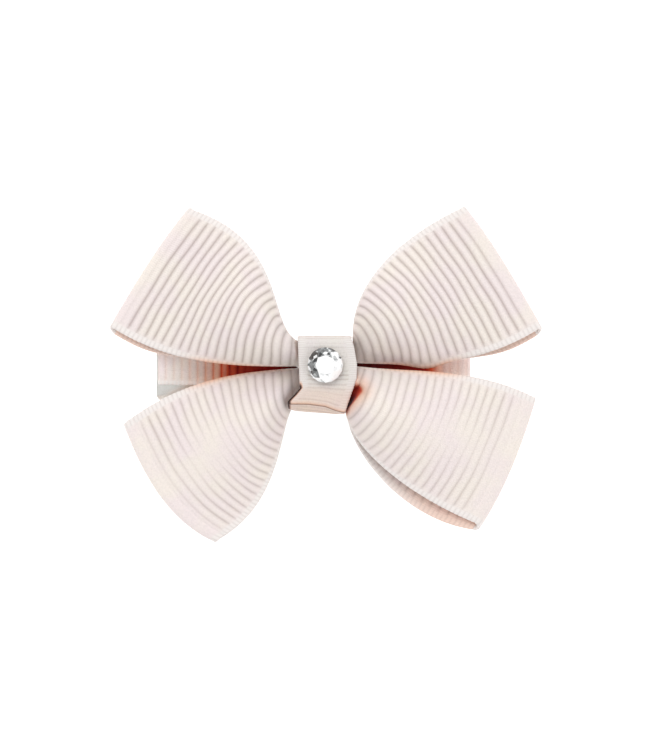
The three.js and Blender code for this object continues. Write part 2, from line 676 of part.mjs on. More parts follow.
add('lower_jaw', lowerJaw(), NICKEL);
add('upper_lever', upperLever(), NICKEL);
add('hinge_pin', hingePin(), PIN_STEEL);
add('torsion_spring', torsionSpring(), SPRING_STEEL);
add('lever_lining_ribbon', leverLining(), GROSGRAIN);
add('rear_loop_ribbon', loopRibbon(LOWER_LEFT, UPPER_RIGHT, REAR_LEVEL, REAR_FOLD_Z), GROSGRAIN);
add('front_loop_ribbon', loopRibbon(UPPER_LEFT, LOWER_RIGHT, FRONT_LEVEL, FRONT_FOLD_Z),
  GROSGRAIN);
add('waist_thread', waistThread(), THREAD);
add('centre_wrap_ribbon', centreWrap(), GROSGRAIN);
add('bow_glue_pad', gluePad(...BOW_GLUE, BOW_GLUE_SPACE - 2 * GAP, 0, CLIP_Y,
  LINING_TOP + GAP), GLUE);
add('wrap_glue_pad', gluePad(...WRAP_GLUE_PAD, WRAP_GLUE, 0, CLIP_Y,
  WRAP_LEVEL_OUTER_END + WRAP_THICKNESS / 2 + GAP), GLUE);
add('stone_glue', gluePad(...STONE_GLUE, STONE_GLUE_HEIGHT, STONE_X, STONE_Y,
  WRAP_TOP + GAP), GLUE);
add('crystal_foil', foilDisc(), FOIL);
add('crystal', crystal(), CRYSTAL);

export default bow;
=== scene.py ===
import json
import math
import bmesh
import bpy
import numpy as np
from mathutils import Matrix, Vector


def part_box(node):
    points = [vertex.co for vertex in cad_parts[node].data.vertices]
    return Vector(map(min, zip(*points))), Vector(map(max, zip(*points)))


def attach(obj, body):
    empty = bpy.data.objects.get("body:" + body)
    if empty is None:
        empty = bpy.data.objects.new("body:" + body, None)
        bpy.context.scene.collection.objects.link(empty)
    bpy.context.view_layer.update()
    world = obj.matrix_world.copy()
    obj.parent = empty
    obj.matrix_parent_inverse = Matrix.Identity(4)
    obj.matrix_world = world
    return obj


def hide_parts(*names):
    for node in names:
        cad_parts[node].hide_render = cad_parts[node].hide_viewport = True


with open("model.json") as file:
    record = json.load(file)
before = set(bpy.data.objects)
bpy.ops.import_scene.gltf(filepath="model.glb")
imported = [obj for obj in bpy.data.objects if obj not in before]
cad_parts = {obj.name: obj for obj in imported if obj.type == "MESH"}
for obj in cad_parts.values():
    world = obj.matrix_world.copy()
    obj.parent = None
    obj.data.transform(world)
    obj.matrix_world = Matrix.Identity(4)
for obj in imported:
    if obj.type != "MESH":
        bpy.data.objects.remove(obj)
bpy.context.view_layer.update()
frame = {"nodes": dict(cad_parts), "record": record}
NODES = frame["nodes"]
BODY_OF = {n: b for b, members in frame["record"]["behaviour"]["bodies"].items()
           for n in members}
RNG = np.random.default_rng(11)
MM = 0.001

# ---- sizes, in millimetres, in the CAD's frame ---------------------------------------------

RIBBON = 0.45                 # ribbon thickness
RIB_ROWS = 8                  # mesh rows to a rib
LAYER_RIBS = 20               # ribs along one layer of a lobe
FOLD_RIBS = 2                 # ribs round a fold
WAIST_RIBS = 3                # from the middle of the waist to a lobe
FOLD_RADIUS = 0.55
RIBBON_WIDTH = 16.0
RELIEF = 0.12                 # height of a rib
SELVAGE = 0.75                # plain woven edge of the wide ribbon
WAIST_X = 3.4                 # from the middle of the waist to where the lobes start
WAIST_Y = (-1.3, 2.7)         # lower and upper edge in the middle of the waist
WAIST_END = 0.3               # half the gap between a ribbon's two ends, behind the waist
LAYER_STEP = 1.0              # front layer above back layer at the waist
REAR_LEVEL = 6.3              # height of the rear loop's back layer at the waist
FRONT_LEVEL = 9.1
REAR_FOLD_Z = 8.9             # height of the rear loop's folds
FRONT_FOLD_Z = 9.2
ARCH = 3.9                    # how high the front layer of a lobe domes
LONG_HANDLE = 0.44            # reach of a rib's curve from the edge along the clip
SHORT_HANDLE = 0.26           # and from the outer edge, as shares of the rib's length
WAVER = 0.035                 # how far a rib strays from its even course
INSIDE_WARMTH = 0.16          # depth of the warm shade inside a loop, up to 1

WRAP_TOP = 12.355
WRAP_THICKNESS = 0.42
WRAP_WIDTH = 6.4
WRAP_PITCH = 0.52             # from one rib to the next
WRAP_SELVAGE = 0.85
WRAP_RIM = 0.9                # strip at each edge that gets the closer mesh columns

LINING_WIDTH = 5.0
LINING_THICKNESS = 0.36
LINING_PITCH = 0.96
LINING_SELVAGE = 0.45
LINING_RIM = 0.5

CLIP_Y = 1.3                  # middle of the clip
HINGE = (-11, CLIP_Y, 2.15)
LEVER_TIP = 16.3
TAB_END = -19.75              # end of the lining on the finger tab
TAB_BEND = -13.6              # where the upper lever bends up into its tab
TAB_ANGLE = 16
SPRING_COIL = 1.0             # coil radius to the middle of the wire
SPRING_PITCH = 0.62
SPRING_LEG = 3.2
SPRING_TURNS = 3
SPRING_WIRE_RADIUS = 0.25
THREAD_RADIUS = 0.12
THREAD_TURNS = 5

# Lobe outlines from the waist to the fold: control points of the two edges.
# bow: how far the fold bulges. calm: how much the ribs flatten out in the middle. peek: how
# far the back layer's lower edge hangs out. strength: height of the ribs. sag: a soft dip of
# the lower edge. plain: width of the pressed strip beside the fold where the ribs fade out.
# crease: depth of the line pressed in beside the fold.
UPPER_LEFT = dict(
    upper=[(-3.4, 3.75), (-7.2, 5.8), (-4.2, 15.75), (-16.0, 19.35)],
    lower=[(-3.4, 1.1), (-10.0, 1.1), (-17.5, 0.65), (-25.35, 5.75)],
    bow=0.42, calm=0.0, peek=0.65, crease=0.0, strength=1.0, sag=0.0, plain=1.9)
UPPER_RIGHT = dict(
    upper=[(3.4, 3.8), (2.6, 9.1), (6.9, 15.4), (16.2, 19.6)],
    lower=[(3.4, 1.5), (10.0, 1.25), (17.5, 0.5), (25.3, 5.65)],
    bow=0.4, calm=0.0, peek=0.7, crease=0.5, strength=1.0, sag=0.6, plain=2.2)
LOWER_LEFT = dict(
    upper=[(-3.4, 0.62), (-8.5, 0.12), (-15.5, 0.4), (-23.65, -5.75)],
    lower=[(-3.4, -2.9), (-6.0, -4.9), (-4.1, -14.8), (-12.9, -19.45)],
    bow=1.9, calm=1.15, peek=0.0, crease=1.0, strength=0.78, sag=0.0, plain=3.0)
LOWER_RIGHT = dict(
    upper=[(3.4, 0.85), (9.0, 0.05), (17.0, 1.15), (24.5, -2.75)],
    lower=[(2.6, -2.9), (1.2, -6.4), (7.8, -13.5), (17.95, -17.5)],
    back_lower=[(2.6, -2.9), (1.2, -7.2), (8.4, -17.35), (17.9, -18.2)],
    bow=0.7, calm=1.05, peek=0.0, crease=0.7, strength=0.66, sag=0.0, plain=3.4)

# ---- small tools ---------------------------------------------------------------------------


def smooth(a, b, x):
    t = np.clip((np.asarray(x, float) - a) / (b - a), 0, 1)
    return t * t * (3 - 2 * t)


def cubic(points, t):
    p = np.asarray(points, float)
    t = np.asarray(t, float)[..., None]
    s = 1 - t
    return s**3 * p[0] + 3 * s * s * t * p[1] + 3 * s * t * t * p[2] + t**3 * p[3]


def slope(points, t):
    p = np.asarray(points, float)
    t = np.asarray(t, float)[..., None]
    s = 1 - t
    d = 3 * s * s * (p[1] - p[0]) + 6 * s * t * (p[2] - p[1]) + 3 * t * t * (p[3] - p[2])
    return d / np.linalg.norm(d, axis=-1, keepdims=True)


class Edge:
    """A Bezier edge that is read by share of its length."""

    def __init__(self, points, sag=0.0):
        self.points = points
        self.sag = sag
        self.t = np.linspace(0, 1, 401)
        line = cubic(points, self.t)
        steps = np.linalg.norm(np.diff(line, axis=0), axis=1)
        self.length = np.concatenate([[0], np.cumsum(steps)])

    def at(self, share):
        t = np.interp(share * self.length[-1], self.length, self.t)
        place = cubic(self.points, t)
        place[1] -= self.sag * math.exp(-((abs(place[0]) - 11.8) / 2.3) ** 2)
        return place, slope(self.points, t), t


def resample(line, step):
    """Points at even distance along a bent line, and the distance of each."""
    line = np.asarray(line, float)
    gone = np.concatenate([[0], np.cumsum(np.linalg.norm(np.diff(line, axis=0), axis=1))])
    count = max(2, int(round(gone[-1] / step)) + 1)
    d = np.linspace(0, gone[-1], count)
    return np.stack([np.interp(d, gone, line[:, k]) for k in range(line.shape[1])], 1), d


def arc(cx, cy, radius, start, end, steps):
    a = np.radians(np.linspace(start, end, steps + 1))
    return [(cx + radius * math.cos(x), cy + radius * math.sin(x)) for x in a]


def between(x, table):
    """Values between the (place, value) pairs of a table."""
    places, values = zip(*table)
    return np.interp(x, places, values)


def in_mm(box):
    low, high = box
    return np.array(low) / MM, np.array(high) / MM


def mesh_object(name, verts, faces, material, body, nodes, smooth_faces=True):
    mesh = bpy.data.meshes.new(name)
    mesh.from_pydata([tuple(v) for v in np.asarray(verts) * MM], [], faces)
    mesh.update()
    work = bmesh.new()
    work.from_mesh(mesh)
    bmesh.ops.recalc_face_normals(work, faces=work.faces)
    work.to_mesh(mesh)
    work.free()
    mesh.polygons.foreach_set("use_smooth", [smooth_faces] * len(mesh.polygons))
    mesh.materials.append(material)
    obj = bpy.data.objects.new(name, mesh)
    bpy.context.scene.collection.objects.link(obj)
    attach(obj, body)
    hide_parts(*nodes)
    return obj


def point_values(obj, **values):
    for key, data in values.items():
        layer = obj.data.attributes.new(key, "FLOAT", "POINT")
        layer.data.foreach_set("value", np.asarray(data, np.float32).ravel())


def columns(edge_share, middle):
    """Places across a ribbon, closer together at its two edges."""
    near = np.array([0, 0.06, 0.2, 0.45, 0.75, 1.0, 1.12]) * edge_share
    inner = np.linspace(near[-1], 1 - near[-1], middle + 2)[1:-1]
    return np.concatenate([near, inner, (1 - near)[::-1]])


def ribbon_mesh(name, rows, w, phase, width, thickness, amount, selvage, gap,
                material, body, nodes, groove=None, scallop=0.018, hollow=0.0):
    """A closed ribbon round a grid of centre points. Ribs run across it, one to each whole
    phase, and stand lower on its back face."""
    rows = np.asarray(rows, float)
    along = np.gradient(rows, axis=0)
    across = np.gradient(rows, axis=1)
    normal = np.cross(along, across)
    normal /= np.linalg.norm(normal, axis=2, keepdims=True) + 1e-12
    across_unit = across / (np.linalg.norm(across, axis=2, keepdims=True) + 1e-12)
    n, c = rows.shape[:2]
    from_edge = np.minimum(w, 1 - w) * width
    ribbed = smooth(selvage - 0.12, selvage + 0.18, from_edge)[None, :]
    cord = np.abs(np.sin(np.pi * phase))[:, None] ** 0.7
    amount = np.broadcast_to(amount, (n, c))
    # Cords differ a little in thickness from one to the next.
    height = 1 + 0.12 * RNG.standard_normal(int(phase[-1]) + 2)[phase.astype(int)][:, None]
    lift = RELIEF * amount * ribbed * (cord * height - 0.55)
    # Small loops of the weft stand out of the selvage, two to a rib.
    loops = np.sin(4 * np.pi * phase)[:, None] * scallop
    reach = np.exp(-from_edge / 0.12)[None, :] * np.sign(w - 0.5)[None, :]
    rows = rows + across_unit * (loops * reach)[..., None]
    rim = np.clip(from_edge / (thickness * 0.5), 0, 1)
    half = thickness / 2 * np.sqrt(np.clip(1 - (1 - rim) ** 2, 0.04, 1))[None, :, None]
    if groove is not None:
        lift = lift - groove
    top = rows + normal * (half + lift[..., None])
    bottom = rows - normal * (half + np.minimum(lift, 0.03)[..., None])
    verts = np.concatenate([top.reshape(-1, 3), bottom.reshape(-1, 3)])
    index = np.arange(n * c).reshape(n, c)
    a, b = index[:-1, :-1], index[1:, :-1]
    d, e = index[1:, 1:], index[:-1, 1:]
    quads = [np.stack([a, b, d, e], -1).reshape(-1, 4),
             np.stack([a, e, d, b], -1).reshape(-1, 4) + n * c]
    for k in (0, c - 1):
        quads.append(np.stack([index[:-1, k], index[1:, k],
                               index[1:, k] + n * c, index[:-1, k] + n * c], -1))
    for k in (0, n - 1):
        quads.append(np.stack([index[k, :-1], index[k, 1:],
                               index[k, 1:] + n * c, index[k, :-1] + n * c], -1))
    faces = [tuple(int(x) for x in q) for q in np.concatenate(quads)]
    obj = mesh_object(name, verts, faces, material, body, nodes)
    crest = 1 - (1 - cord) * ribbed * amount
    point_values(
        obj,
        crest=np.tile(crest, (2, 1)),
        selvage=np.tile(np.broadcast_to(1 - ribbed, (n, c)), (2, 1)),
        gap=np.tile(np.broadcast_to(gap, (n, c)), (2, 1)),
        hollow=np.tile(np.broadcast_to(hollow, (n, c)), (2, 1)),
        across=np.tile(np.broadcast_to((w * width)[None, :], (n, c)), (2, 1)),
        phase=np.tile(np.broadcast_to(phase[:, None], (n, c)), (2, 1)),
    )
    return obj


# ---- materials -----------------------------------------------------------------------------


def srgb(r, g, b):
    def one(v):
        v = v / 255
        return v / 12.92 if v <= 0.04045 else ((v + 0.055) / 1.055) ** 2.4
    return (one(r), one(g), one(b), 1.0)


def t_mix(a, b, share):
    return tuple(a[k] + (b[k] - a[k]) * share for k in range(4))


class Tree:
    def __init__(self, name):
        self.material = bpy.data.materials.new(name)
        self.material.use_nodes = True
        self.nodes = self.material.node_tree.nodes
        self.links = self.material.node_tree.links
        self.nodes.clear()
        self.out = self.nodes.new("ShaderNodeOutputMaterial")

    def add(self, kind, options=None, **inputs):
        made = self.nodes.new("ShaderNode" + kind)
        for key, value in (options or {}).items():
            setattr(made, key, value)
        for key, value in inputs.items():
            self.put(made.inputs[key.replace("_", " ")], value)
        return made

    def put(self, socket, value):
        if isinstance(value, bpy.types.NodeSocket):
            self.links.new(value, socket)
        else:
            socket.default_value = value

    def math(self, operation, a, b=None, c=None):
        made = self.nodes.new("ShaderNodeMath")
        made.operation = operation
        for socket, value in zip(made.inputs, (a, b, c)):
            if value is not None:
                self.put(socket, value)
        return made.outputs[0]

    def mix(self, share, a, b, blend="MIX"):
        made = self.nodes.new("ShaderNodeMix")
        made.data_type = "RGBA"
        made.blend_type = blend
        self.put(made.inputs[0], share)
        self.put(made.inputs[6], a)
        self.put(made.inputs[7], b)
        return made.outputs[2]

    def attribute(self, name):
        return self.add("Attribute", {"attribute_name": name}).outputs["Fac"]

    def ramp(self, value, stops):
        made = self.nodes.new("ShaderNodeValToRGB")
        self.put(made.inputs[0], value)
        elements = made.color_ramp.elements
        while len(elements) < len(stops):
            elements.new(0.5)
        for element, (place, colour) in zip(elements, stops):
            element.position = place
            element.color = colour
        return made.outputs[0]

    def noise(self, scale, detail=3.0, roughness=0.5):
        place = self.add("TexCoord").outputs["Object"]
        made = self.add("TexNoise", Vector=place, Scale=scale, Detail=detail,
                        Roughness=roughness)
        return made.outputs["Fac"]

    def surface(self, shader):
        self.links.new(shader, self.out.inputs["Surface"])
        return self.material


# Painted shade of a hollow from its rim to its deepest place, on the pale ribbons and on the
# wrap.
RED_HOLLOW_SHADE = [
    (0.0, (1, 1, 1, 1)), (0.3, srgb(255, 214, 190)), (0.52, srgb(236, 106, 66)),
    (0.74, srgb(168, 28, 14)), (1.0, srgb(44, 8, 8))]
GREY_HOLLOW_SHADE = [
    (0.0, (1, 1, 1, 1)), (0.3, srgb(255, 214, 190)), (0.42, srgb(188, 160, 150)),
    (0.7, srgb(96, 66, 58)), (1.0, srgb(24, 14, 12))]
# Painted shade on cloth close to other cloth, from the closest: anywhere, and over the clip.
WARM_SHADE = [
    (0.02, srgb(206, 176, 158)), (0.2, srgb(242, 224, 212)),
    (0.42, srgb(252, 245, 239)), (0.62, srgb(255, 255, 255))]
RED_SHADE = [
    (0.08, srgb(92, 6, 2)), (0.26, srgb(170, 30, 16)), (0.4, srgb(238, 120, 92)),
    (0.54, srgb(255, 204, 178)), (0.7, srgb(255, 246, 238))]


def fabric(name, crest, valley_shade, band, warp_pitch, reach=2.2, deep=RED_HOLLOW_SHADE):
    """Grosgrain: pale cords over valleys darkened with painted shade, fine warp threads that
    hold the cords, a plain selvage, a little light let through the cloth, and painted shade,
    warm to red, where the cloth lies close to other cloth and in hollows."""
    t = Tree(name)
    cord = t.attribute("crest")
    edge = t.attribute("selvage")
    gap = t.attribute("gap")
    across = t.attribute("across")
    phase = t.attribute("phase")
    # Painted shade: the valleys between the cords take the darker valley colour.
    colour = t.ramp(cord, [(0.0, valley_shade), (0.55, t_mix(valley_shade, crest, 0.55)), (0.95, crest)])
    soft = t.noise(260.0, 2.0)
    pink = t.ramp(soft, [(0.35, srgb(255, 252, 248)), (0.65, srgb(253, 247, 250))])
    colour = t.mix(1.0, colour, pink, "MULTIPLY")
    fine = t.noise(5200.0, 2.0)
    speck = t.ramp(fine, [(0.3, (0.9, 0.9, 0.9, 1)), (0.6, (1, 1, 1, 1))])
    colour = t.mix(0.7, colour, speck, "MULTIPLY")
    # Selvage: lighter, with fine lines of the turned-back weft, darkened between its loops with
    # painted shade.
    lines = t.math("SINE", t.math("MULTIPLY", phase, 4 * math.pi))
    lines = t.math("MULTIPLY_ADD", lines, 0.5, 0.5)
    edge_colour = t.ramp(lines, [(0.0, t_mix(valley_shade, band, 0.72)), (0.6, band)])
    colour = t.mix(edge, colour, edge_colour)
    # Painted shade from occlusion: darker and warmer where other cloth lies close, redder where
    # the gap mask is set.
    occlusion = t.add("AmbientOcclusion", {"samples": 6}, Distance=reach * MM).outputs["AO"]
    shade = t.mix(gap, t.ramp(occlusion, WARM_SHADE), t.ramp(occlusion, RED_SHADE))
    colour = t.mix(1.0, colour, shade, "MULTIPLY")
    # Deep hollows get painted shade, darker the deeper they lie.
    colour = t.mix(1.0, colour, t.ramp(t.attribute("hollow"), deep), "MULTIPLY")
    thread = t.math("MULTIPLY", across, 2 * math.pi / warp_pitch)
    turn = t.math("MULTIPLY", t.math("FLOOR", phase), math.pi)
    weave = t.math("SINE", t.math("ADD", thread, turn))
    height = t.math("MULTIPLY_ADD", weave, 0.5, t.math("MULTIPLY", lines, edge))
    height = t.math("MULTIPLY_ADD", fine, 0.8, height)
    bump = t.add("Bump", Strength=0.55, Distance=0.03 * MM, Height=height).outputs["Normal"]
    cloth = t.add("BsdfPrincipled", Base_Color=colour, Roughness=0.72, Normal=bump,
                  Sheen_Weight=0.25, Sheen_Roughness=0.4, Specular_IOR_Level=0.28)
    glow = t.add("BsdfTranslucent", Color=colour, Normal=bump)
    both = t.add("MixShader", Fac=0.16)
    t.links.new(cloth.outputs[0], both.inputs[1])
    t.links.new(glow.outputs[0], both.inputs[2])
    return t.surface(both.outputs[0])


def metal(name, colour, roughness, scratch=9000.0):
    t = Tree(name)
    cloud = t.noise(420.0, 4.0, 0.6)
    grain = t.noise(scratch, 3.0, 0.7)
    tint = t.ramp(cloud, [(0.3, t_mix(colour, (0.3, 0.29, 0.27, 1), 0.25)), (0.7, colour)])
    rough = t.math("MULTIPLY_ADD", cloud, 0.18, roughness - 0.06)
    bump = t.add("Bump", Strength=0.12, Distance=0.01 * MM, Height=grain).outputs["Normal"]
    made = t.add("BsdfPrincipled", Base_Color=tint, Metallic=1.0, Roughness=rough, Normal=bump)
    return t.surface(made.outputs[0])


def glue_material():
    t = Tree("set_glue")
    cloud = t.noise(900.0, 3.0)
    colour = t.ramp(cloud, [(0.3, srgb(226, 220, 204)), (0.7, srgb(246, 243, 232))])
    bump = t.add("Bump", Strength=0.3, Distance=0.05 * MM, Height=cloud).outputs["Normal"]
    made = t.add("BsdfPrincipled", Base_Color=colour, Roughness=0.28, Normal=bump,
                 Transmission_Weight=0.25, IOR=1.48)
    return t.surface(made.outputs[0])


def crystal_material():
    t = Tree("cut_crystal")
    # Painted reflections: small shards of light and dark inside each facet, as the cut's back
    # facets give.
    place = t.add("TexCoord").outputs["Object"]
    shard = t.add("TexVoronoi", Vector=place, Scale=2300.0).outputs["Color"]
    facet = t.math("MULTIPLY_ADD", shard, 1.3, t.attribute("facet"))
    facet = t.math("SUBTRACT", facet, 0.65)
    colour = t.ramp(facet, [(0.0, srgb(20, 22, 22)), (0.3, srgb(120, 124, 124)),
                            (0.6, srgb(226, 228, 229)), (1.0, srgb(255, 255, 255))])
    flaw = t.noise(3000.0, 1.0)
    rough = t.math("MULTIPLY_ADD", flaw, 0.02, 0.02)
    # The stone also glows faintly in its own painted colour.
    made = t.add("BsdfPrincipled", Base_Color=colour, Roughness=rough, IOR=1.6,
                 Transmission_Weight=0.22, Coat_Weight=1.0, Coat_Roughness=0.02,
                 Emission_Color=colour, Emission_Strength=0.16)
    return t.surface(made.outputs[0])


def foil_material():
    t = Tree("foil")
    grain = t.noise(2500.0, 3.0)
    colour = t.ramp(grain, [(0.3, srgb(176, 178, 182)), (0.7, srgb(220, 221, 224))])
    made = t.add("BsdfPrincipled", Base_Color=colour, Metallic=1.0, Roughness=0.14)
    return t.surface(made.outputs[0])


def thread_material():
    t = Tree("sewing_thread")
    twist = t.attribute("twist")
    # Painted shade: the thread is darker in the grooves between its twisted plies.
    wave = t.math("MULTIPLY_ADD", t.math("SINE", twist), 0.5, 0.5)
    colour = t.ramp(wave, [(0.1, srgb(196, 182, 170)), (0.6, srgb(244, 236, 226))])
    bump = t.add("Bump", Strength=0.8, Distance=0.04 * MM, Height=wave).outputs["Normal"]
    made = t.add("BsdfPrincipled", Base_Color=colour, Roughness=0.7, Normal=bump,
                 Sheen_Weight=0.3)
    return t.surface(made.outputs[0])


LOOP_CLOTH = fabric("loop_grosgrain", srgb(252, 247, 243), srgb(206, 196, 191),
                    srgb(250, 245, 242), 0.24)
WRAP_CLOTH = fabric("wrap_grosgrain", srgb(238, 238, 233), srgb(200, 190, 182),
                    srgb(240, 236, 233), 0.2, 0.9, GREY_HOLLOW_SHADE)
LINING_CLOTH = fabric("lining_grosgrain", srgb(255, 253, 251), srgb(250, 238, 230),
                      srgb(255, 253, 251), 0.24, 0.3)
NICKEL = metal("nickel_plate", srgb(238, 237, 233), 0.2)
PIN_STEEL = metal("pin_steel", srgb(200, 198, 194), 0.28)
SPRING_STEEL = metal("spring_steel", srgb(176, 173, 168), 0.3, 4000.0)

# ---- the two loops -------------------------------------------------------------------------


def prepare(lobe):
    lobe["side"] = math.copysign(1, lobe["upper"][3][0])
    lobe["top"] = lobe["upper"][3][1] > 0
    for key in ("upper", "lower", "back_lower"):
        if key in lobe:
            lobe[key + "_edge"] = Edge(lobe[key], lobe["sag"] if key == "lower" else 0.0)
    return lobe


def lobe_row(lobe, share, front, level, fold_z, w, outset=0.0):
    """One line across a lobe at that share of its length from the waist."""
    low_edge = lobe["lower_edge"] if front else lobe.get("back_lower_edge", lobe["lower_edge"])
    low, low_way, low_u = low_edge.at(share)
    high, high_way, high_u = lobe["upper_edge"].at(share)
    chord = high - low
    length = np.linalg.norm(chord)
    unit = chord / length
    out = lobe["side"] * np.array([unit[1], -unit[0]])
    low_turn = np.array([-low_way[1], low_way[0]])
    low_turn *= np.sign(low_turn @ unit)
    high_turn = np.array([-high_way[1], high_way[0]])
    high_turn *= -np.sign(high_turn @ unit)
    straight = smooth(0.3, 1.0, share)
    early = smooth(0.0, 0.12, share)
    turned = (1 - straight) * early
    # A rib leaves the edge along the clip nearly straight and hooks round at the outer edge.
    soft, tight = 0.7 * turned, turned
    low_share, high_share = (soft, tight) if lobe["top"] else (tight, soft)
    low_turn = unit + (low_turn - unit) * low_share
    high_turn = -unit + (high_turn + unit) * high_share
    long, short = LONG_HANDLE * length, SHORT_HANDLE * length
    low_reach, high_reach = (long, short) if lobe["top"] else (short, long)
    u = (low_u + high_u) / 2
    if not front and lobe["peek"]:
        # The back layer's lower edge hangs out a little below the front one's.
        low = low + np.array([0, -1.0]) * lobe["peek"] * smooth(0.5, 0.85, share)
    bow = lobe["bow"] * u * u
    handles = [low, low + low_turn * low_reach, high + high_turn * high_reach, high]
    t = np.linspace(0, 1, 61)
    v = 2 * t - 1
    crown = 1 - v * v
    plan = cubic(handles, t) + np.outer(crown * bow + outset, out)
    if front:
        control = level + (fold_z - level) * 0.5 + 1.4
        arch = (1 - u) ** 3 + ARCH * 6.75 * u * (1 - u) ** 2
    else:
        control = min(level, fold_z) - 0.5
        hump = 6.75 * u * (1 - u) ** 2
        arch = (1 - u) ** 3 - 1.5 * hump
    edge_z = (1 - u) ** 2 * level + 2 * u * (1 - u) * control + u * u * fold_z
    line = np.column_stack([plan, edge_z + arch * crown])
    gone = np.concatenate([[0], np.cumsum(np.linalg.norm(np.diff(line, axis=0), axis=1))])
    at = w * gone[-1]
    return np.stack([np.interp(at, gone, line[:, k]) for k in range(3)], 1)


def lobe_rows(lobe, level, fold_z, w):
    """Back layer from the waist to the fold, the fold, front layer back to the waist. Each
    row comes with its share of the way to the fold and which layer it is on."""
    prepare(lobe)
    length = lobe["upper_edge"].length[-1]
    end = 1 - (FOLD_RADIUS + RIBBON / 2) / length
    count = LAYER_RIBS * RIB_ROWS
    rows = []
    for i in range(count + 1):
        share = end * i / count
        rows.append((lobe_row(lobe, share, False, level, fold_z - FOLD_RADIUS, w), share, 0))
    for i in range(1, FOLD_RIBS * RIB_ROWS):
        angle = math.pi * i / (FOLD_RIBS * RIB_ROWS)
        outset = FOLD_RADIUS * math.sin(angle)
        back = lobe_row(lobe, end, False, level, fold_z - FOLD_RADIUS, w, outset)
        front = lobe_row(lobe, end, True, level + LAYER_STEP, fold_z + FOLD_RADIUS, w, outset)
        mix = (1 - math.cos(angle)) / 2
        rows.append((back + (front - back) * mix, end + outset / length, 0.5))
    for i in range(count, -1, -1):
        share = end * i / count
        row = lobe_row(lobe, share, True, level + LAYER_STEP, fold_z + FOLD_RADIUS, w)
        rows.append((row, share, 1))
    return rows


def waist_rows(x0, x1, left, right, z, w, count):
    rows = []
    for i in range(count):
        x = x0 + (x1 - x0) * (i + 0.5) / count
        lobe = left if x < 0 else right
        share = abs(x) / WAIST_X
        low = WAIST_Y[0] + (lobe["lower"][0][1] - WAIST_Y[0]) * share
        high = WAIST_Y[1] + (lobe["upper"][0][1] - WAIST_Y[1]) * share
        v = 2 * w - 1
        rows.append(np.column_stack([
            np.full(len(w), x), low + (high - low) * w, z + (1 - v * v)]))
    return rows


def loop_rows(left, right, level, fold_z, w):
    """All rows of a loop: from behind the waist round the left lobe, over the waist, round the
    right lobe and back. Each row has its share of the way to a fold, its layer and its lobe."""
    count = WAIST_RIBS * RIB_ROWS
    upper_level = level + LAYER_STEP
    first = waist_rows(-WAIST_END, -WAIST_X, left, right, level, w, count - 2)
    over = waist_rows(-WAIST_X, WAIST_X, left, right, upper_level, w, 2 * count)
    last = waist_rows(WAIST_X, WAIST_END, left, right, level, w, count - 2)
    made = [(row, 0, 0, left) for row in first]
    made += [(*row, left) for row in lobe_rows(left, level, fold_z, w)]
    made += [(row, 0, 1, right) for row in over]
    made += [(*row, right) for row in reversed(lobe_rows(right, level, fold_z, w))]
    made += [(row, 0, 0, right) for row in last]
    rows, share, layer, lobes = zip(*made)
    return np.stack(rows), np.array(share), np.array(layer), lobes


def of_lobes(lobes, key):
    return np.array([lobe[key] for lobe in lobes])


def soften_waist(grid, share):
    """The turn between the waist and the lobes runs on smoothly in one piece of ribbon."""
    blur = np.exp(-np.linspace(-2, 2, 9) ** 2)
    blur /= blur.sum()
    padded = np.concatenate([grid[:1].repeat(4, 0), grid, grid[-1:].repeat(4, 0)])
    soft = sum(b * padded[k:k + len(grid)] for k, b in enumerate(blur))
    near = (1 - smooth(0.0, 0.1, share))[:, None, None]
    return grid + (soft - grid) * near


def rib_strength(lobes, share, pressed, w):
    """How strongly each point is ribbed: least beside a fold and in the calm middle."""
    middle = np.exp(-((w[None, :] - 0.5) / 0.24) ** 2)
    middle = middle * np.exp(-((share[:, None] - 0.62) / 0.27) ** 2)
    amount = pressed[:, None] * (1 - 0.8 * of_lobes(lobes, "calm")[:, None] * middle)
    amount = amount * (0.85 + 0.15 * smooth(0.0, 0.2, share))[:, None]
    strength = of_lobes(lobes, "strength")[:, None]
    return amount * (1 + (strength - 1) * smooth(0.0, 0.15, share)[:, None])


def wavering(grid, w, loose):
    """No cord runs quite evenly: a slow waver along each, none at the fold or the waist."""
    row = np.arange(len(grid))[:, None] / RIB_ROWS
    waver = np.sin(2 * math.pi * (1.4 * w[None, :] + row / 5.3))
    waver = waver + 0.8 * np.sin(2 * math.pi * (2.9 * w[None, :] - row / 8.7) + 1)
    waver = WAVER * waver * loose[:, None]
    along = np.gradient(grid, axis=0)
    along /= np.linalg.norm(along, axis=2, keepdims=True) + 1e-12
    return grid + along * waver[..., None]


